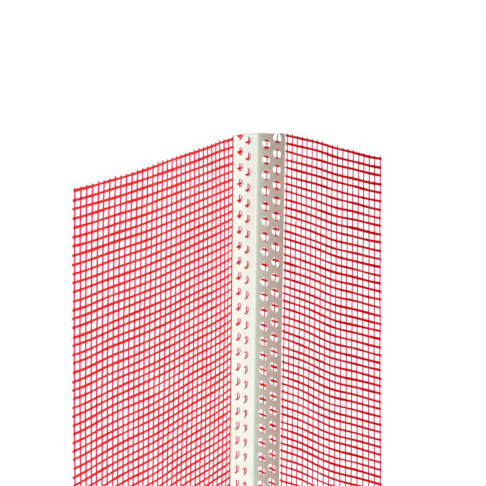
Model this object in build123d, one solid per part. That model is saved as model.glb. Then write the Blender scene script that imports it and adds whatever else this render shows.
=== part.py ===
from build123d import *
import os

# A corner angle for facade render: a perforated white PVC angle with a strip of coated
# glass-fibre mesh bonded to the outside of each arm. It lies on its wide wing, and the
# narrow wing stands up. Millimetres. X runs along the stock from the end that was snipped
# by hand, the wide wing runs out towards -Y, and the narrow wing rises towards +Z.
# The origin is on the floor, under the middle of the whole part.

# Stock
stock_length = 2000.0

# PVC angle
arm_width = 23.5  # heel to free edge, outside
wall = 1.0
throat_radius = 1.6  # inside of the bend
wide_hole_diameter = 5.3  # each arm has its own punch
narrow_hole_diameter = 6.4
wide_hole_pitch = 10.08
narrow_hole_pitch = 10.0
wide_edge_land = 3.55  # free edge of an arm to the rims of its outer holes
narrow_edge_land = 3.0
wide_row_spacing = 7.6  # between the two rows of holes in an arm
narrow_row_spacing = 8.9
wide_first_hole = 2.0  # start of the stock to the first outer hole of an arm
narrow_first_hole = 3.8
wide_stagger = 4.4  # how much further along the inner holes of an arm start
narrow_stagger = 5.0
heel_cut = 2.6  # start of the stock to the snipped end of the PVC, at the heel
wide_edge_cut = 1.5  # and at the free edge of each arm
narrow_edge_cut = 0.5

# Glass-fibre mesh: warp yarns run along the stock, weft yarns run out from the heel
warp_pitch = 4.05
warp_width = 0.8
warp_thickness = 0.3
weft_pitch = 5.08
weft_width = 1.3
weft_thickness = 0.35
wide_first_warp = 3.9  # heel to the warp nearest to it
narrow_first_warp = 4.4
wide_warps = 38
narrow_warps = 24
first_weft = 1.3  # end of a wing's warps to the middle of its first weft
wide_setback = 2.0  # the wide wing was snipped off this much shorter than the narrow one
fringe = 1.4  # how far the weft ends stand past the outermost warp
bond = 0.05  # film of coating between the layers: PVC, wefts and warps

# Worked out from the sizes above
weft_deep = (bond, bond + weft_thickness)  # from the outside of an arm outwards
warp_deep = (weft_deep[1] + bond, weft_deep[1] + bond + warp_thickness)
mesh_thickness = warp_deep[1]
heel_radius = throat_radius + wall
wide_outer_row = arm_width - wide_edge_land - wide_hole_diameter / 2
narrow_outer_row = arm_width - narrow_edge_land - narrow_hole_diameter / 2
spare = max(wide_hole_diameter, narrow_hole_diameter)  # the PVC is made this much too long at each end
wide_slope = (heel_cut - wide_edge_cut) / arm_width  # of the snipped end
narrow_slope = (heel_cut - narrow_edge_cut) / arm_width


def last_warp(first, count):
    return first + (count - 1) * warp_pitch


wide_reach = last_warp(wide_first_warp, wide_warps) + fringe
narrow_reach = last_warp(narrow_first_warp, narrow_warps) + fringe

# The heel is the sharp corner that the two outer faces of the PVC would meet in
start_x = -stock_length / 2
end_x = stock_length / 2
heel_y = (wide_reach - mesh_thickness) / 2
heel_z = mesh_thickness


def block(low, high):
    size = [b - a for a, b in zip(low, high)]
    return Solid.make_box(*size, Plane(low))


def on_wide(x, out, deep):
    # A block given by its spans along the stock, out from the heel and outwards from the arm
    low = (x[0], heel_y - out[1], heel_z - deep[1])
    high = (x[1], heel_y - out[0], heel_z - deep[0])
    return block(low, high)


def on_narrow(x, out, deep):
    low = (x[0], heel_y + deep[0], heel_z + out[0])
    high = (x[1], heel_y + deep[1], heel_z + out[1])
    return block(low, high)


def span(middle, width):
    return (middle - width / 2, middle + width / 2)


def warp_yarns(place, wing_x, first, count, slope):
    # The warps are the outermost layer, so those of the wide wing lie on the floor.
    # Those behind the PVC were snipped off level with it.
    yarns = []
    for i in range(count):
        out = first + i * warp_pitch
        along = (max(wing_x, start_x + heel_cut - slope * out), end_x)
        yarns.append(place(along, span(out, warp_width), warp_deep))
    return Compound(yarns)


def weft_yarns(place, wing_x, first, count, slope):
    # Each weft is bonded to the arm on one side and crosses every warp on the other.
    # The snip took the inner end of a weft that lay past the end of the PVC.
    first_x = wing_x + first_weft
    wefts = int((end_x - weft_width / 2 - first_x) / weft_pitch) + 1
    yarns = []
    for i in range(wefts):
        x = first_x + i * weft_pitch
        inner_end = first - fringe
        missing = start_x + heel_cut - x
        if missing > 0 and slope > 0:
            inner_end = max(inner_end, missing / slope)
        out = (inner_end, last_warp(first, count) + fringe)
        yarns.append(place(span(x, weft_width), out, weft_deep))
    return Compound(yarns)


def hole_places(outer_row, row_spacing, first, stagger, pitch):
    # The outer holes, then the inner ones
    places = []
    for row, start in ((outer_row, first), (outer_row - row_spacing, first + stagger)):
        count = int((stock_length - start) / pitch) + 1
        places += [(start_x + start + i * pitch, row) for i in range(count)]
    return places


def perforated_plate(corner, out_dir, inward, holes_at, hole_diameter):
    # The flat of one arm, too long at both ends so that every hole is whole
    ends = (start_x - spare, end_x + spare)
    outline = [(ends[0], heel_radius), (ends[1], heel_radius), (ends[1], arm_width), (ends[0], arm_width)]
    along = Vector(1, 0, 0)

    def at(x, out):
        return corner + along * x + out_dir * out

    rim = Wire.make_polygon([at(x, out) for x, out in outline], close=True)
    holes = [
        Wire.make_circle(hole_diameter / 2, Plane(origin=at(x, out), x_dir=along, z_dir=inward))
        for x, out in holes_at
    ]
    return Solid.extrude(Face(rim, holes), inward * wall)


def bend():
    centre = (heel_y - heel_radius, heel_z + heel_radius)
    section_plane = Plane(origin=(start_x - spare, *centre), x_dir=(0, 1, 0), z_dir=(1, 0, 0))
    outer = CenterArc((0, 0), heel_radius, -90, 90)
    inner = CenterArc((0, 0), throat_radius, -90, 90)
    edges = [outer, inner, Line(outer @ 0, inner @ 0), Line(outer @ 1, inner @ 1)]
    section = Face(Wire(edges))
    length = stock_length + 2 * spare
    return Solid.extrude(section_plane * section, Vector(length, 0, 0))


def snip(corner, out_dir, inward, slope):
    # What is snipped off one arm at the start of the stock, along a slanting line
    beyond = start_x - 2 * spare
    outline = [(beyond, -heel_radius), (beyond, arm_width + heel_radius)]
    for out in (arm_width + heel_radius, -heel_radius):
        outline.append((start_x + heel_cut - slope * out, out))
    points = [corner - inward * wall + Vector(x, 0, 0) + out_dir * out for x, out in outline]
    face = Face(Wire.make_polygon(points, close=True))
    return Solid.extrude(face, inward * (wall + heel_radius))


def pvc_angle():
    heel = Vector(0, heel_y, heel_z)
    up, front = Vector(0, 0, 1), Vector(0, -1, 0)
    wide_holes = hole_places(
        wide_outer_row, wide_row_spacing, wide_first_hole, wide_stagger, wide_hole_pitch
    )
    narrow_holes = hole_places(
        narrow_outer_row, narrow_row_spacing, narrow_first_hole, narrow_stagger, narrow_hole_pitch
    )
    wide = perforated_plate(heel, front, up, wide_holes, wide_hole_diameter)
    narrow = perforated_plate(heel, up, front, narrow_holes, narrow_hole_diameter)
    angle = wide.fuse(bend(), narrow).clean()
    wide_snip = snip(heel, front, up, wide_slope)
    narrow_snip = snip(heel, up, front, narrow_slope)
    far_end = block(
        (end_x, heel_y - 2 * arm_width, heel_z - wall),
        (end_x + 2 * spare, heel_y + wall, heel_z + 2 * arm_width),
    )
    return angle.cut(wide_snip, narrow_snip, far_end)


wide_wing = (on_wide, start_x + wide_setback, wide_first_warp, wide_warps, wide_slope)
narrow_wing = (on_narrow, start_x, narrow_first_warp, narrow_warps, narrow_slope)

os.makedirs("parts", exist_ok=True)
export_step(pvc_angle(), "parts/pvc_angle.step")
export_step(warp_yarns(*wide_wing), "parts/wide_wing_warps.step")
export_step(weft_yarns(*wide_wing), "parts/wide_wing_wefts.step")
export_step(warp_yarns(*narrow_wing), "parts/narrow_wing_warps.step")
export_step(weft_yarns(*narrow_wing), "parts/narrow_wing_wefts.step")
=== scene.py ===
import bpy
import numpy as np
from mathutils import Matrix, Vector


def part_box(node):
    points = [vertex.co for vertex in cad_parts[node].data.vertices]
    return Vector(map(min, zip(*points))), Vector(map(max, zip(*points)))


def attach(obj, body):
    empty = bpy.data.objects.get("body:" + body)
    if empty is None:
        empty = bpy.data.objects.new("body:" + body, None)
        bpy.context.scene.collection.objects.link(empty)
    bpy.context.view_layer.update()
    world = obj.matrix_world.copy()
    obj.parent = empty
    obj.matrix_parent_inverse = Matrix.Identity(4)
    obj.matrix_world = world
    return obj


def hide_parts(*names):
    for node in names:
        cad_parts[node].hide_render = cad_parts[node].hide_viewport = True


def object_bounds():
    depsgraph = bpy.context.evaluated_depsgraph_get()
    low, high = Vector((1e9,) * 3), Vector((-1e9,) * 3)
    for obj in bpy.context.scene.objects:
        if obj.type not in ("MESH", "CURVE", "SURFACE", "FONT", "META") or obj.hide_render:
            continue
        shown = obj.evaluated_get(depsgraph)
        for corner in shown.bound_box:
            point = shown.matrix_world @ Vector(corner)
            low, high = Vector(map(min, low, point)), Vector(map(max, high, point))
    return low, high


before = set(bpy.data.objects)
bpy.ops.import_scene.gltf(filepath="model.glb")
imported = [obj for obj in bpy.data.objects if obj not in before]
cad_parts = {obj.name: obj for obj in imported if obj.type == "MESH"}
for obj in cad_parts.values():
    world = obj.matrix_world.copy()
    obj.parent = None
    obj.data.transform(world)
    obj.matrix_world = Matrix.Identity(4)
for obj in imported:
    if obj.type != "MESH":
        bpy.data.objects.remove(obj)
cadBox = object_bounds()
mm = 0.001
print("frame loaded")


def linearColor(hexColor):
    # sRGB hex to the linear values that the shaders take
    channels = [int(hexColor[i:i + 2], 16) / 255 for i in (1, 3, 5)]
    linear = [c / 12.92 if c <= 0.04045 else ((c + 0.055) / 1.055) ** 2.4 for c in channels]
    return (*linear, 1.0)


def addNode(tree, kind, settings=None, links=None):
    # settings are the node's own properties, or else sockets by name or number; links are by socket
    node = tree.nodes.new(kind)
    for key, value in (settings or {}).items():
        if isinstance(key, str) and hasattr(node, key):
            setattr(node, key, value)
        else:
            node.inputs[key].default_value = value
    for key, source in (links or {}).items():
        tree.links.new(source, node.inputs[key])
    return node


def newMaterial(name):
    material = bpy.data.materials.new(name)
    material.use_nodes = True
    material.node_tree.nodes.clear()
    return material, material.node_tree


# The angle and its wings, from the frame. Below, x runs along the stock from its start,
# and d out from the heel.
pvcLow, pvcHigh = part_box("pvc_angle")
heel = Vector((0, pvcHigh.y, pvcLow.z))
armWidth = pvcHigh.z - pvcLow.z
startX, endX = cadBox[0].x, cadBox[1].x
stockLength = endX - startX

# Wefts are flat ribbons of coated glass; each warp is a ground strand and a thinner one that twists
# round it. Ribbons and strands are given by width and thickness.
mesh = dict(
    slot="red_yarn",
    warpPitch=4.05 * mm,
    weftPitch=5.08 * mm,
    weftRibbon=(1.55 * mm, 0.36 * mm),
    ribbonFlat=0.75,  # share of a weft's width that is flat
    groundStrand=(0.92 * mm, 0.24 * mm),
    twistStrand=(0.58 * mm, 0.18 * mm),
    twistReach=0.26 * mm,  # how far the twisting strand swings to each side
    weftDepth=0.225 * mm,  # middle of each layer, outwards from the PVC
    groundDepth=0.46 * mm,
    twistLowDepth=0.6 * mm,  # under the ground strand, between two wefts
    twistHighDepth=0.03 * mm,  # over a weft, out on the open wing
    twistBondedDepth=0.16 * mm,  # over a weft, where the PVC presses it into the coating
    bondedPast=0.5 * mm,  # how far past the arm's edge it is pressed in
    edgeDepth=-0.55 * mm,  # of the twisting strand that hugs the edge of the wide arm
    edgeTuck=0.3 * mm,  # how far its ground strand lies below it
    edgeSize=0.55,  # share of a ground strand's size there
    stub=1.35 * mm,  # warp ends past the middle of the first and last wefts
    stubSpread=(-0.4, 0.3),  # share of the stub by which the snipped ends differ
    inset=0.3 * mm,  # both strips were bonded on this much nearer to the heel
)

# Yarns stray a little from their lines: how far, and over how many crossings the stray is smoothed
stray = dict(
    weft=(0.16 * mm, 4),  # along the stock
    wholeWeft=0.10 * mm,
    warp=(0.10 * mm, 3),  # out from the heel
    weftSize=(0.10, 1),  # share of a weft's width and thickness
)

# The snipped end of the PVC, from the start of the stock; the yarns behind it were snipped with it
snip = dict(
    heel=2.6 * mm,
    wideEdge=1.5 * mm,
    narrowEdge=0.5 * mm,
    hidden=0.4 * mm,  # how far back from the end of the PVC those yarns begin
    closeUp=0.5 * mm,  # length into which the stations of a yarn that was snipped off close up
)

# Each weft end is a little thicker where it was cut, with a short rounded tip
weftEnd = dict(tip=0.25 * mm, cutSize=1.12, tipSize=0.6)

# Each wing is bent by hand. At the places waveAt, out from the heel, lifts says how far it bulges
# outwards and bows how far its wefts run ahead along the stock: in rows at the cut end, half way to
# waves["onAt"], and there. The wide wing lies on the floor, so its bulges are lifts, below zero.
wideWing = dict(
    name="wide",
    warpNode="wide_wing_warps",
    weftNode="wide_wing_wefts",
    out=Vector((0, -1, 0)),
    outward=Vector((0, 0, -1)),
    waveAt=np.array([19, 24, 28, 33, 40, 58, 76, 94, 112, 130, 147, 158]) * mm,
    lifts=np.array([[0, -0.2, -1.2, -0.9, -1.4, -2.7, -3.9, -5.1, -5.2, -4.6, -4.3, -4.0],
                    [0, -0.3, -1.7, -2.3, -2.5, -2.7, -2.8, -2.0, -1.6, -1.3, -1.4, -1.4],
                    [0, -0.3, -1.6, -1.6, -1.5, -0.9, -0.1, 0, 0, 0, -0.2, -0.6]]) * mm,
    bows=np.array([[0, 0.1, -0.1, -0.2, -0.1, 0.3, 0.3, 0.4, 0.6, 0.5, 0.3, 0],
                   [0, 0.4, 0, 0.1, 0.5, 0.8, 1.6, 2.4, 2.1, 1.7, 1.7, 0.7],
                   [0, 0.6, 0, 0, 0.4, 0.9, 1.9, 2.9, 2.0, 2.1, 2.6, 2.3]]) * mm,
    farWaves=((0.31, -1.4 * mm, 0.4), (0.173, -0.8 * mm, 2.2)),  # length, height, phase
    skew=0.080,  # how far the wefts slant along the stock
    tuck=0.9 * mm,  # how far back they run behind the arm, at the cut end
    warpSize=1.05,  # share of the mesh's own warp width
    twistLook="twist",  # which of the yarn's looks the twisting strands have; the narrow wing's take the pinker ground look as painted light from behind
    twistPieces=2,  # how many pieces they are shared out over
    edgeCut=snip["wideEdge"],
    fringe=(0.9 * mm, 1.7 * mm),  # how far the weft ends stand past the outermost warp
    hugsEdge=True,  # one of its warps runs along the very edge of the arm
    sheetFill=0.42,  # about the share of the strip that its wefts and warps cover together
    held="laid",
    restsOn=["pvc_angle"],
    seed=11,
)
narrowWing = dict(
    name="narrow",
    warpNode="narrow_wing_warps",
    weftNode="narrow_wing_wefts",
    out=Vector((0, 0, 1)),
    outward=Vector((0, 1, 0)),
    waveAt=np.array([23, 36, 50, 64, 78, 90, 101]) * mm,
    lifts=np.array([[0, -0.6, -1.5, -2.6, -3.7, -4.8, -5.9],
                    [0, -0.1, -0.5, -0.7, -0.8, -0.7, -0.7],
                    [0, 0.6, 1.2, 2.2, 3.5, 4.8, 5.6]]) * mm,
    bows=np.array([[0, 0.1, 0.2, 0.9, 0.9, 0.9, 0.1],
                   [0, 0, 0.5, 1.3, 0.3, -0.3, -1.3],
                   [0, -0.8, -0.3, 0.2, -1.1, -2.0, -3.0]]) * mm,
    farWaves=((0.57, 4.5 * mm, 1.1), (0.29, 2.0 * mm, 0.3)),
    skew=0.044,
    tuck=0.0,
    warpSize=0.80,
    # painted backlight: its twisting strands take the lighter, pinker ground look, standing in for the
    # light behind this wing
    twistLook="ground",
    twistPieces=1,
    edgeCut=snip["narrowEdge"],
    fringe=(0.4 * mm, 1.0 * mm),
    hugsEdge=False,
    sheetFill=0.42,
    held="stretched",
    restsOn=["pvc_angle"],
    seed=23,
)
waves = dict(
    onAt=200 * mm,  # where the last rows of lifts and bows hold
    levelFrom=200 * mm,  # their change along the stock levels off over this stretch
    levelTo=250 * mm,
    fadeTo=650 * mm,  # from here on only the far waves are left
    farGrowth=1.5,  # power by which the far waves grow out from the arm
    tuckedFor=150 * mm,  # the tuck behind the arm dies away over this length of stock
    tuckOver=4 * mm,  # how far in from the arm's edge it is complete
    steepest=0.8,  # most that a bulge may slope
    gridCells=(800, 324),  # of the cloth, along the stock and out from the heel
    gridPast=4 * mm,  # how far the grid reaches past the last of a wing's waveAt
)


def ease(t):
    t = np.clip(t, 0, 1)
    return t * t * (3 - 2 * t)


def smoothThrough(knots, values, at):
    # A smooth curve through the knots, level at the first and free at the last
    count = len(knots)
    step = np.diff(knots)
    rise = np.diff(values) / step
    system = np.zeros((count, count))
    wanted = np.zeros(count)
    system[0, 0] = 1
    for i in range(1, count - 1):
        system[i, i - 1:i + 2] = step[i], 2 * (step[i - 1] + step[i]), step[i - 1]
        wanted[i] = 3 * (step[i] * rise[i - 1] + step[i - 1] * rise[i])
    system[-1, -2:] = 1, 2
    wanted[-1] = 3 * rise[-1]
    slope = np.linalg.solve(system, wanted)
    i = np.clip(np.searchsorted(knots, at) - 1, 0, count - 2)
    t = (at - knots[i]) / step[i]
    blend = t * t * (3 - 2 * t)
    curve = values[i] * (1 - blend) + values[i + 1] * blend
    curve = curve + t * (1 - t) * (slope[i] * (1 - t) - slope[i + 1] * t) * step[i]
    return np.where(at <= knots[0], 0.0, curve)


def faded(x):
    return ease((x - waves["levelTo"]) / (waves["fadeTo"] - waves["levelTo"]))


def alongNet(wing, rows, x, d):
    # Smooth through the three rows of a wing's lifts or bows, level from levelTo on and gone by fadeTo
    levelOver = waves["levelTo"] - waves["levelFrom"]
    past = np.clip(x - waves["levelFrom"], 0, levelOver)
    held = np.minimum(x, waves["levelFrom"]) + past - past ** 2 / (2 * levelOver)
    t = held / waves["onAt"]
    start, half, on = [smoothThrough(wing["waveAt"], row, d) for row in rows]
    near = start * (1 - t) * (1 - 2 * t) + half * 4 * t * (1 - t) + on * t * (2 * t - 1)
    return near * (1 - faded(x))


def bulge(wing, x, d):
    # How far the wing bulges outwards; x and d are arrays of one shape
    far = 0 * x
    width = wing["waveAt"][-1] - armWidth
    share = np.clip((d - armWidth) / width, 0, 1) ** waves["farGrowth"]
    for length, height, phase in wing["farWaves"]:
        far = far + height * share * (np.sin(2 * np.pi * x / length + phase) + 1)
    total = alongNet(wing, wing["lifts"], x, d) + far * faded(x)
    if wing["outward"].z < 0:
        total = np.minimum(total, 0)  # never under the floor
    return total


def makeCloth(wing):
    # A fine grid over the wing: how far it bulges, slopes and reaches out, and its wefts run ahead
    cellsX, cellsD = waves["gridCells"]
    gridX = np.linspace(0, stockLength, cellsX + 1)
    gridD = np.linspace(0, wing["waveAt"][-1] + waves["gridPast"], cellsD + 1)
    x, d = np.meshgrid(gridX, gridD, indexing="ij")
    height = bulge(wing, x, d)
    ahead = wing["skew"] * np.maximum(d - armWidth, 0) * (1 - x / stockLength)
    ahead = ahead + alongNet(wing, wing["bows"], x, d)
    tucked = np.maximum(1 - x / waves["tuckedFor"], 0) * ease((armWidth - d) / waves["tuckOver"])
    ahead = ahead - wing["tuck"] * tucked
    slope = np.clip(np.gradient(height, gridD, axis=1), -waves["steepest"], waves["steepest"])
    step = gridD[1] - gridD[0]
    lost = np.cumsum(1 - np.sqrt(1 - slope ** 2), axis=1) * step
    return dict(x=gridX, d=gridD, height=height, reach=d - lost, slope=slope, ahead=ahead)


def readCloth(cloth, field, x, d):
    # One of the grid's values between its points, held just inside the last cell
    stepX, stepD = cloth["x"][1], cloth["d"][1]
    u = np.clip(x / stepX, 0, len(cloth["x"]) - 1.001)
    v = np.clip(d / stepD, 0, len(cloth["d"]) - 1.001)
    i, j = u.astype(int), v.astype(int)
    u, v = u - i, v - j
    table = cloth[field]
    near = table[i, j] * (1 - v) + table[i, j + 1] * v
    far = table[i + 1, j] * (1 - v) + table[i + 1, j + 1] * v
    return near * (1 - u) + far * u


def onCloth(wing, x, d, depth):
    # The point at x along and d out, at a depth outwards from the PVC's outside, with the normal there
    cloth = wing["cloth"]
    height = readCloth(cloth, "height", x, d)
    reach = readCloth(cloth, "reach", x, d)
    slope = readCloth(cloth, "slope", x, d)
    out, outward = np.array(wing["out"]), np.array(wing["outward"])
    flat = np.sqrt(1 - slope ** 2)
    normal = outward * flat[..., None] - out * slope[..., None]
    point = np.array(heel) + np.zeros(x.shape + (3,))
    point[..., 0] = startX + x + readCloth(cloth, "ahead", x, d)
    point = point + out * reach[..., None] + outward * height[..., None] + normal * depth[..., None]
    return point, normal


def meshPiece(name, node, verts, faceGroups, material):
    # A piece of yarn that stands for a CAD node; faceGroups are arrays of faces with as many corners each
    data = bpy.data.meshes.new(name)
    loops = np.concatenate([faces.ravel() for faces in faceGroups])
    sizes = np.concatenate([np.full(len(faces), faces.shape[1]) for faces in faceGroups])
    starts = np.concatenate([[0], np.cumsum(sizes)[:-1]])
    data.vertices.add(len(verts))
    data.vertices.foreach_set("co", verts.astype(np.float32).ravel())
    data.loops.add(len(loops))
    data.loops.foreach_set("vertex_index", loops.astype(np.int32))
    data.polygons.add(len(sizes))
    data.polygons.foreach_set("loop_start", starts.astype(np.int32))
    data.polygons.foreach_set("use_smooth", np.ones(len(sizes), bool))
    data.update(calc_edges=True)
    data.validate()
    data.materials.append(material)
    piece = bpy.data.objects.new(name, data)
    bpy.context.scene.collection.objects.link(piece)
    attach(piece, "root")
    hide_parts(node)
    print("made", name, "triangles", int((sizes - 2).sum()))
    return piece


def yarnPiece(name, node, points, normals, section, size, material):
    # Closed tubes along rows of points: section is corners (across, along the normal) in metres,
    # and size is the share of it at each point
    count, stations = points.shape[:2]
    corners = np.array(section)
    sides = len(corners)
    along = np.gradient(points, axis=1)
    along /= np.linalg.norm(along, axis=2, keepdims=True)
    across = np.cross(normals, along)
    across /= np.linalg.norm(across, axis=2, keepdims=True)
    ring = across[:, :, None] * corners[:, 0, None] + normals[:, :, None] * corners[:, 1, None]
    verts = points[:, :, None] + ring * size[:, :, None, None]
    index = np.arange(count * stations * sides).reshape(count, stations, sides)
    a, b = index[:, :-1], index[:, 1:]
    nextA, nextB = np.roll(a, -1, axis=2), np.roll(b, -1, axis=2)
    quads = np.stack([a, b, nextB, nextA], axis=-1).reshape(-1, 4)
    caps = np.concatenate([index[:, 0], index[:, -1, ::-1]])
    return meshPiece(name, node, verts.reshape(-1, 3), [quads, caps], material)


def ribbonSection(width, thickness):
    # Flat, with edges that fall away to a ridge
    w, t = width / 2, thickness / 2
    flat = mesh["ribbonFlat"] * w
    return [(w, 0), (flat, t), (-flat, t), (-w, 0), (-flat, -t), (flat, -t)]


def strandSection(width, thickness):
    w, t = width / 2, thickness / 2
    return [(w, t), (-w, t), (-w, -t), (w, -t)]


def smoothNoise(rng, shape, spread):
    # Even noise of about one, smoothed along the second axis over that many steps
    kernel = np.hanning(2 * spread + 3)
    kernel /= np.sqrt((kernel ** 2).sum())
    raw = rng.normal(size=(shape[0], shape[1] + len(kernel) - 1))
    return np.stack([np.convolve(row, kernel, "valid") for row in raw])


def layOut(wing):
    # Where the yarns of a wing run: places of the warps out from the heel and of the wefts along the stock
    warpLow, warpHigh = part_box(wing["warpNode"])
    weftLow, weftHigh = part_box(wing["weftNode"])
    outAxis = 1 if wing["out"].y else 2
    width = warpHigh[outAxis] - warpLow[outAxis]
    count = round(width / mesh["warpPitch"]) + 1
    if outAxis == 1:
        middle = heel.y - (warpLow.y + warpHigh.y) / 2
    else:
        middle = (warpLow.z + warpHigh.z) / 2 - heel.z
    wing["warps"] = middle - mesh["inset"] + (np.arange(count) - (count - 1) / 2) * mesh["warpPitch"]
    wefts = round((weftHigh.x - weftLow.x) / mesh["weftPitch"]) + 1
    first = (weftLow.x + weftHigh.x) / 2 - startX - (wefts - 1) / 2 * mesh["weftPitch"]
    wing["wefts"] = first + np.arange(wefts) * mesh["weftPitch"]
    rng = np.random.default_rng(wing["seed"])
    weftStray, weftSpread = stray["weft"]
    wing["weftDrift"] = weftStray * smoothNoise(rng, (wefts, count + 2), weftSpread)
    wing["weftDrift"] += stray["wholeWeft"] * rng.normal(size=(wefts, 1))
    warpStray, warpSpread = stray["warp"]
    wing["warpDrift"] = warpStray * smoothNoise(rng, (count, wefts), warpSpread)
    wing["rng"] = rng
    wing["cloth"] = makeCloth(wing)


def pvcEnd(wing, d):
    # Where the snipped PVC starts, along the stock, at d out from the heel
    return snip["heel"] + (wing["edgeCut"] - snip["heel"]) * d / armWidth


def weftPiece(wing, material):
    wefts, warps, rng = wing["wefts"], wing["warps"], wing["rng"]
    count = len(wefts)
    inner = warps[0] - rng.uniform(*wing["fringe"], size=(count, 1))
    outer = warps[-1] + rng.uniform(*wing["fringe"], size=(count, 1))
    d = np.concatenate([inner, warps[None, :] + wing["warpDrift"].T, outer], axis=1)
    # the first wefts begin where the snip left them: their stations up to there close up
    slant = (snip["heel"] - wing["edgeCut"]) / armWidth
    left = (snip["heel"] + snip["hidden"] + wing["tuck"] - wefts[:, None]) / slant
    d = np.maximum(d, left + np.linspace(0, 1, d.shape[1]) * snip["closeUp"])
    x = wefts[:, None] + wing["weftDrift"]
    # a short last ring rounds off each cut end
    d = np.concatenate([d[:, :1] - weftEnd["tip"], d, d[:, -1:] + weftEnd["tip"]], axis=1)
    x = np.concatenate([x[:, :1], x, x[:, -1:]], axis=1)
    sizeStray, sizeSpread = stray["weftSize"]
    size = 1 + sizeStray * smoothNoise(rng, d.shape, sizeSpread)
    size[:, [1, -2]] = weftEnd["cutSize"]
    size[:, [0, -1]] = weftEnd["tipSize"]
    points, normals = onCloth(wing, x, d, np.full(d.shape, mesh["weftDepth"]))
    section = ribbonSection(*mesh["weftRibbon"])
    name = wing["name"] + "_wefts"
    return yarnPiece(name, wing["weftNode"], points, normals, section, size, material)


def warpStations(wing, perWeft):
    # Places along a warp: the wefts, points between them and the two cut ends
    wefts = wing["wefts"]
    count = (len(wefts) - 1) * perWeft + 1
    inner = np.interp(np.arange(count) / perWeft, np.arange(len(wefts)), wefts)
    ends = (wefts[0] - mesh["stub"], wefts[-1] + mesh["stub"])
    return np.concatenate([[ends[0]], inner, [ends[1]]])


def alongWarps(wing, stations):
    # x and d of every warp at those stations, with the stray of wefts and warps worked in
    wefts, warps = wing["wefts"], wing["warps"]
    at = np.clip((stations - wefts[0]) / mesh["weftPitch"], 0, len(wefts) - 1)
    step = np.minimum(at.astype(int), len(wefts) - 2)
    part = at - step
    drift = wing["warpDrift"]
    d = warps[:, None] + drift[:, step] * (1 - part) + drift[:, step + 1] * part
    weftDrift = wing["weftDrift"][:, 1:-1].T
    x = stations[None, :] + weftDrift[:, step] * (1 - part) + weftDrift[:, step + 1] * part
    return x, d


def snipWarps(wing, x, d):
    # Warps behind the PVC begin level with its end: their stations up to there close up
    first = pvcEnd(wing, d) + snip["hidden"] + wing["tuck"]
    closed = first + np.linspace(0, 1, x.shape[1]) * snip["closeUp"]
    return np.where(d < armWidth, np.maximum(x, closed), x)


def edgeWarps(wing):
    # Which of the warps run along the very edge of the arm
    near = np.abs(wing["warps"] - armWidth) < mesh["groundStrand"][0]
    return near & wing["hugsEdge"]


def groundPiece(wing, material):
    x, d = alongWarps(wing, warpStations(wing, perWeft=1))
    x[:, 0] += wing["rng"].uniform(*mesh["stubSpread"], size=len(x)) * mesh["stub"]
    x = snipWarps(wing, x, d)
    depth = np.full(d.shape, mesh["groundDepth"])
    size = np.full(d.shape, wing["warpSize"])
    hugging = edgeWarps(wing)
    depth[hugging] = mesh["edgeDepth"] + mesh["edgeTuck"]
    size[hugging] = mesh["edgeSize"]
    d[hugging] = np.maximum(d[hugging], armWidth + mesh["edgeSize"] * mesh["groundStrand"][0] / 2)
    points, normals = onCloth(wing, x, d, depth)
    section = strandSection(*mesh["groundStrand"])
    name = wing["name"] + "_ground_warps"
    return yarnPiece(name, wing["warpNode"], points, normals, section, size, material)


def twistPieces(wing, material):
    # The twisting strand goes over each weft, on one side of the ground strand and then on the other,
    # and under the ground strand between two wefts
    stations = warpStations(wing, perWeft=2)
    x, d = alongWarps(wing, stations)
    place = np.arange(len(stations)) - 1
    overWeft = place % 2 == 0
    overWeft[[0, -1]] = False
    side = np.where(place % 4 == 0, 1.0, -1.0)
    d = d + np.where(overWeft, side, 0.0) * mesh["twistReach"]
    x = snipWarps(wing, x, d)
    bonded = d < armWidth + mesh["bondedPast"]
    high = np.where(bonded, mesh["twistBondedDepth"], mesh["twistHighDepth"])
    depth = np.where(overWeft[None, :], high, mesh["twistLowDepth"])
    hugging = edgeWarps(wing)
    depth[hugging] = mesh["edgeDepth"]
    d[hugging] = np.maximum(d[hugging], armWidth + mesh["twistStrand"][0] / 2)
    points, normals = onCloth(wing, x, d, depth)
    size = np.full(d.shape, wing["warpSize"])
    section = strandSection(*mesh["twistStrand"])
    made = []
    for k in range(wing["twistPieces"]):
        chosen = slice(k, None, wing["twistPieces"])
        name = "%s_twist_warps_%d" % (wing["name"], k + 1)
        made.append(yarnPiece(name, wing["warpNode"], points[chosen], normals[chosen], section,
                              size[chosen], material))
    return made


# Drops of coating caught at crossings, and loose hairs of glass. Both are made for a share of the
# crossings past the arm.
litter = dict(
    drops=0.05,
    dropLength=(0.7 * mm, 1.3 * mm),  # half lengths along the weft, then across it and through it
    dropWidth=(0.45 * mm, 0.75 * mm),
    dropDepth=(0.25 * mm, 0.40 * mm),
    hairs=0.02,
    hairLength=(0.9 * mm, 2.4 * mm),
    hairWidth=0.30 * mm,
    hairLean=0.6,  # most that a hair stands up from the mesh, as a share of its length along it
    offWeft=0.25 * mm,  # typical miss of a crossing, along the stock and out from the heel
    offWarp=0.3 * mm,
    raised=0.1 * mm,  # how far they sit inwards from the middle of the weft
)


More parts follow.
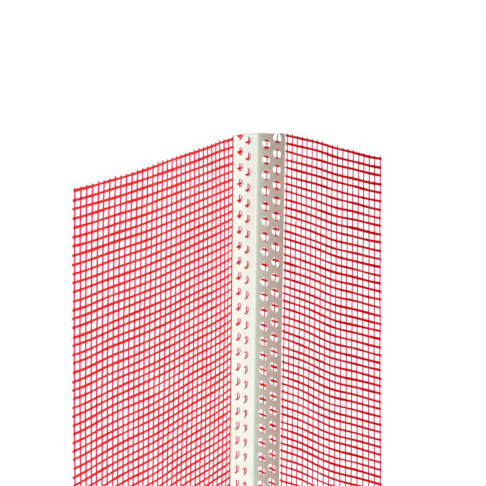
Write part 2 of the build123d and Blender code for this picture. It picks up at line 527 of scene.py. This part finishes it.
def litterPiece(wing, material):
    rng = wing["rng"]
    warps, wefts = wing["warps"], wing["wefts"]
    openWarps = int((warps > armWidth + mesh["warpPitch"] / 2).sum())
    crossings = len(wefts) * openWarps
    dropCount, hairCount = int(litter["drops"] * crossings), int(litter["hairs"] * crossings)
    count = dropCount + hairCount
    n = rng.integers(0, len(wefts), count)
    i = rng.integers(len(warps) - openWarps, len(warps), count)
    x = wefts[n] + wing["weftDrift"][n, i + 1] + rng.normal(size=count) * litter["offWeft"]
    d = warps[i] + wing["warpDrift"][i, n] + rng.normal(size=count) * litter["offWarp"]
    at, normal = onCloth(wing, x, d, np.full(count, mesh["weftDepth"] - litter["raised"]))
    drop, hair = slice(0, dropCount), slice(dropCount, count)
    out, along = np.array(wing["out"]), np.array((1.0, 0.0, 0.0))
    # a drop is a squat eight-sided bead with six corners
    dropSizes = [litter[key] for key in ("dropLength", "dropWidth", "dropDepth")]
    size = [rng.uniform(*span, size=(dropCount, 1)) for span in dropSizes]
    arms = [out * size[0], along * size[1], normal[drop] * size[2]]
    dropVerts = np.stack([at[drop] + sign * arm for arm in arms for sign in (1, -1)], axis=1)
    bead = np.array([(0, 2, 4), (2, 1, 4), (1, 3, 4), (3, 0, 4),
                     (2, 0, 5), (1, 2, 5), (3, 1, 5), (0, 3, 5)])
    dropFaces = bead[None] + 6 * np.arange(dropCount)[:, None, None]
    # a hair is a thin three-sided spike that leans any way and a little up from the mesh
    turn = rng.uniform(0, 2 * np.pi, size=(hairCount, 1))
    lean = out * np.cos(turn) + along * np.sin(turn)
    lean = lean - normal[hair] * rng.uniform(0, litter["hairLean"], size=(hairCount, 1))
    across = out * -np.sin(turn) + along * np.cos(turn)
    tip = at[hair] + lean * rng.uniform(*litter["hairLength"], size=(hairCount, 1))
    half = litter["hairWidth"] / 2
    foot = [at[hair] + across * half, at[hair] - across * half, at[hair] - normal[hair] * 2 * half]
    hairVerts = np.stack(foot + [tip], axis=1)
    spike = np.array([(0, 2, 1), (0, 1, 3), (1, 2, 3), (2, 0, 3)])
    hairFaces = spike[None] + 6 * dropCount + 4 * np.arange(hairCount)[:, None, None]
    verts = np.concatenate([dropVerts.reshape(-1, 3), hairVerts.reshape(-1, 3)])
    faces = np.concatenate([dropFaces.reshape(-1, 3), hairFaces.reshape(-1, 3)])
    return meshPiece(wing["name"] + "_drops_and_hairs", wing["weftNode"], verts, [faces], material)


# Extruded white PVC: a hard satin skin with faint die lines along the stock
pvcLook = dict(
    light="#EFF6ED",
    dark="#E9EFE3",
    patch=(60 * mm, 9 * mm),  # cloudiness: long along the stock, narrow across
    dieLine=0.7 * mm,
    dieLineLength=400,  # how many times longer than wide a die line is
    dieLineBump=(0.25, 0.02 * mm),  # strength and height
    roughness=(0.34, 0.46),
    ior=1.54,
)


def extrudedPvc():
    material, tree = newMaterial("extruded_white_pvc")
    place = addNode(tree, "ShaderNodeTexCoord")
    along, across = [1 / size for size in pvcLook["patch"]]
    stretched = addNode(tree, "ShaderNodeMapping", {"Scale": (along, across, across)},
                        {"Vector": place.outputs["Object"]})
    cloud = addNode(tree, "ShaderNodeTexNoise", {"Scale": 1.0, "Detail": 3.0},
                    {"Vector": stretched.outputs["Vector"]})
    tint = addNode(tree, "ShaderNodeMix", {"data_type": "RGBA", 6: linearColor(pvcLook["light"]),
                                           7: linearColor(pvcLook["dark"])},
                   {"Factor": cloud.outputs["Fac"]})
    fine = 1 / pvcLook["dieLine"]
    lines = addNode(tree, "ShaderNodeMapping", {"Scale": (fine / pvcLook["dieLineLength"], fine, fine)},
                    {"Vector": place.outputs["Object"]})
    grooves = addNode(tree, "ShaderNodeTexNoise", {"Scale": 1.0, "Detail": 2.0},
                      {"Vector": lines.outputs["Vector"]})
    gloss = addNode(tree, "ShaderNodeMapRange", {"To Min": pvcLook["roughness"][0],
                                                 "To Max": pvcLook["roughness"][1]},
                    {"Value": grooves.outputs["Fac"]})
    strength, height = pvcLook["dieLineBump"]
    bump = addNode(tree, "ShaderNodeBump", {"Strength": strength, "Distance": height},
                   {"Height": grooves.outputs["Fac"]})
    shader = addNode(tree, "ShaderNodeBsdfPrincipled", {"IOR": pvcLook["ior"]},
                     {"Base Color": tint.outputs[2], "Roughness": gloss.outputs["Result"],
                      "Normal": bump.outputs["Normal"]})
    addNode(tree, "ShaderNodeOutputMaterial", links={"Surface": shader.outputs["BSDF"]})
    return material


# Glass-fibre yarn dipped in a red coating: satin, streaked along the fibres, thicker and darker in
# patches. The flat wefts let some red light through, and the fine ground strands look pinker; on the
# narrow wing the twisting strands take that pinker look too, as painted light from behind.
yarnLook = dict(
    weft=dict(colors=("#FC0C0E", "#EC060A"), seeping=0.8, alongStock=False),
    twist=dict(colors=("#FC1420", "#EC0C18"), seeping=0.0, alongStock=True),
    ground=dict(colors=("#FF1A84", "#F61274"), seeping=0.0, alongStock=True),
    patch=5 * mm,
    streak=0.3 * mm,  # real filaments are far finer and would not show
    streakLength=20,  # how many times longer than wide a streak is
    streakShare=0.5,  # how much streaks count in the colour beside patches
    streakBump=(0.5, 0.05 * mm),  # strength and height
    turnsDark=(0.45, 1.05),  # where patches and streaks together go from the first colour to the second
    roughness=(0.40, 0.62),
    ior=1.50,
    mirror=0.12,  # a fibrous coating has little mirror shine
    seepsFor=(0.8 * mm, 0.15 * mm, 0.15 * mm),  # how far red, green and blue light gets inside
)


def dippedYarn(kind):
    look = yarnLook[kind]
    material, tree = newMaterial("dipped_glass_" + kind)
    place = addNode(tree, "ShaderNodeTexCoord")
    cloud = addNode(tree, "ShaderNodeTexNoise", {"Scale": 1 / yarnLook["patch"], "Detail": 3.0},
                    {"Vector": place.outputs["Object"]})
    fine = 1 / yarnLook["streak"]
    slow = fine / yarnLook["streakLength"]
    scale = (slow, fine, fine) if look["alongStock"] else (fine, slow, slow)
    drawn = addNode(tree, "ShaderNodeMapping", {"Scale": scale}, {"Vector": place.outputs["Object"]})
    streaks = addNode(tree, "ShaderNodeTexNoise", {"Scale": 1.0, "Detail": 2.0},
                      {"Vector": drawn.outputs["Vector"]})
    both = addNode(tree, "ShaderNodeMath", {"operation": "MULTIPLY_ADD", 1: yarnLook["streakShare"]},
                   {0: streaks.outputs["Fac"], 2: cloud.outputs["Fac"]})
    share = addNode(tree, "ShaderNodeMapRange", {"From Min": yarnLook["turnsDark"][0],
                                                 "From Max": yarnLook["turnsDark"][1]},
                    {"Value": both.outputs["Value"]})
    tint = addNode(tree, "ShaderNodeMix", {"data_type": "RGBA", 6: linearColor(look["colors"][0]),
                                           7: linearColor(look["colors"][1])},
                   {"Factor": share.outputs["Result"]})
    gloss = addNode(tree, "ShaderNodeMapRange", {"To Min": yarnLook["roughness"][0],
                                                 "To Max": yarnLook["roughness"][1]},
                    {"Value": streaks.outputs["Fac"]})
    strength, height = yarnLook["streakBump"]
    bump = addNode(tree, "ShaderNodeBump", {"Strength": strength, "Distance": height},
                   {"Height": streaks.outputs["Fac"]})
    shader = addNode(tree, "ShaderNodeBsdfPrincipled",
                     {"IOR": yarnLook["ior"], "Specular IOR Level": yarnLook["mirror"],
                      "Subsurface Weight": look["seeping"],
                      "Subsurface Radius": yarnLook["seepsFor"], "Subsurface Scale": 1.0},
                     {"Base Color": tint.outputs[2], "Roughness": gloss.outputs["Result"],
                      "Normal": bump.outputs["Normal"]})
    addNode(tree, "ShaderNodeOutputMaterial", links={"Surface": shader.outputs["BSDF"]})
    return material


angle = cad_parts["pvc_angle"]
angle.data.materials.clear()
angle.data.materials.append(extrudedPvc())
print("angle finished")

yarns = {kind: dippedYarn(kind) for kind in ("weft", "twist", "ground")}
for wing in (wideWing, narrowWing):
    layOut(wing)
    wefts = weftPiece(wing, yarns["weft"])
    warps = [groundPiece(wing, yarns["ground"])]
    warps += twistPieces(wing, yarns[wing["twistLook"]])
    litterPiece(wing, yarns["weft"])
    print(wing["name"], "wing finished")

# White floor that shows only a breath of the shadow, and a white surround
stageLook = dict(
    size=14.0,
    drop=0.05 * mm,  # the floor lies this much below the part, so that no faces share a plane
    floor="#F4F4F2",
    floorBounce="#88765A",  # colour of the floor to the light that it throws back
    shownWhite=0.97,  # share of plain white in what the camera sees of the floor
    skyFill=0.08,  # light from all round
    lamps=(
        dict(name="overhead", power=60.0, size=2.2, at=Vector((-0.85, -0.36, 2.3))),
        dict(name="behind", power=32.0, size=0.9, at=Vector((-0.75, 1.4, 0.24))),
    ),
    aimedAt=(0.12, 0.03),  # along the stock from its start, and above the floor
)
plainWhite = {"Color": (1, 1, 1, 1), "Strength": 1.0}


def seenDirectly(tree):
    # One for what the camera sees itself, in a mirror or through glass
    rays = addNode(tree, "ShaderNodeLightPath")
    direct = addNode(tree, "ShaderNodeMath", {"operation": "MAXIMUM"},
                     {0: rays.outputs["Is Camera Ray"], 1: rays.outputs["Is Glossy Ray"]})
    return addNode(tree, "ShaderNodeMath", {"operation": "MAXIMUM"},
                   {0: direct.outputs["Value"], 1: rays.outputs["Is Transmission Ray"]}).outputs["Value"]


def makeFloor():
    half = stageLook["size"] / 2
    corners = [(-half, -half, 0), (half, -half, 0), (half, half, 0), (-half, half, 0)]
    data = bpy.data.meshes.new("floor")
    data.from_pydata(corners, [], [(0, 1, 2, 3)])
    floor = bpy.data.objects.new("floor", data)
    bpy.context.scene.collection.objects.link(floor)
    floor.location.z = -stageLook["drop"]
    material, tree = newMaterial("white_paper_floor")
    direct = seenDirectly(tree)
    pale = addNode(tree, "ShaderNodeMix", {"data_type": "RGBA", 6: linearColor(stageLook["floorBounce"]),
                                           7: linearColor(stageLook["floor"])}, {"Factor": direct})
    paper = addNode(tree, "ShaderNodeBsdfDiffuse", links={"Color": pale.outputs[2]})
    white = addNode(tree, "ShaderNodeEmission", plainWhite)
    share = addNode(tree, "ShaderNodeMath", {"operation": "MULTIPLY", 1: stageLook["shownWhite"]},
                    {0: direct})
    surface = addNode(tree, "ShaderNodeMixShader",
                      links={0: share.outputs["Value"], 1: paper.outputs["BSDF"],
                             2: white.outputs["Emission"]})
    addNode(tree, "ShaderNodeOutputMaterial", links={"Surface": surface.outputs["Shader"]})
    data.materials.append(material)


def makeLight():
    world = bpy.data.worlds.new("studio")
    bpy.context.scene.world = world
    world.use_nodes = True
    tree = world.node_tree
    tree.nodes.clear()
    direct = seenDirectly(tree)
    fill = addNode(tree, "ShaderNodeBackground", {**plainWhite, "Strength": stageLook["skyFill"]})
    white = addNode(tree, "ShaderNodeBackground", plainWhite)
    mixed = addNode(tree, "ShaderNodeMixShader", links={0: direct, 1: fill.outputs["Background"],
                                                        2: white.outputs["Background"]})
    addNode(tree, "ShaderNodeOutputWorld", links={"Surface": mixed.outputs["Shader"]})
    aimX, aimZ = stageLook["aimedAt"]
    for look in stageLook["lamps"]:
        lamp = bpy.data.lights.new(look["name"], "AREA")
        lamp.shape = "DISK"
        lamp.size = look["size"]
        lamp.energy = look["power"]
        lampObject = bpy.data.objects.new(look["name"], lamp)
        bpy.context.scene.collection.objects.link(lampObject)
        lampObject.location = look["at"]
        aim = Vector((startX + aimX, 0, aimZ)) - look["at"]
        lampObject.rotation_euler = aim.to_track_quat("-Z", "Y").to_euler()
        lampObject.visible_camera = False


# The camera looks down into the angle from its snipped end, with the stock running down the picture
cameraLook = dict(
    fromHeel=Vector((-119.44, -526.97, 445.02)) * mm,  # from the heel's end at the start of the stock
    forward=Vector((0.1629, 0.7454, -0.6464)),
    right=Vector((-0.0110, 0.6565, 0.7542)),
    focalPixels=1105.2,
    centreRow=120,  # picture row that the lens axis meets; the photo is the lower part of a taller one
    pictureSide=486,
    sensorWidth=36.0,  # in millimetres, as Blender takes it
    nearest=0.01,  # in metres; nothing nearer is drawn
)


def makeCamera():
    forward = cameraLook["forward"].normalized()
    right = (cameraLook["right"] - forward * cameraLook["right"].dot(forward)).normalized()
    up = right.cross(forward)
    data = bpy.data.cameras.new("camera")
    data.sensor_width = cameraLook["sensorWidth"]
    data.lens = cameraLook["focalPixels"] / cameraLook["pictureSide"] * data.sensor_width
    data.shift_y = cameraLook["centreRow"] / cameraLook["pictureSide"] - 0.5
    data.clip_start = cameraLook["nearest"]
    camera = bpy.data.objects.new("camera", data)
    bpy.context.scene.collection.objects.link(camera)
    axes = Matrix((right, up, -forward)).transposed()
    place = Vector((startX, heel.y, heel.z)) + cameraLook["fromHeel"]
    camera.matrix_world = Matrix.Translation(place) @ axes.to_4x4()
    bpy.context.scene.camera = camera


makeFloor()
makeLight()
makeCamera()
bpy.context.scene.view_settings.view_transform = "Standard"
print("stage, light and camera set")
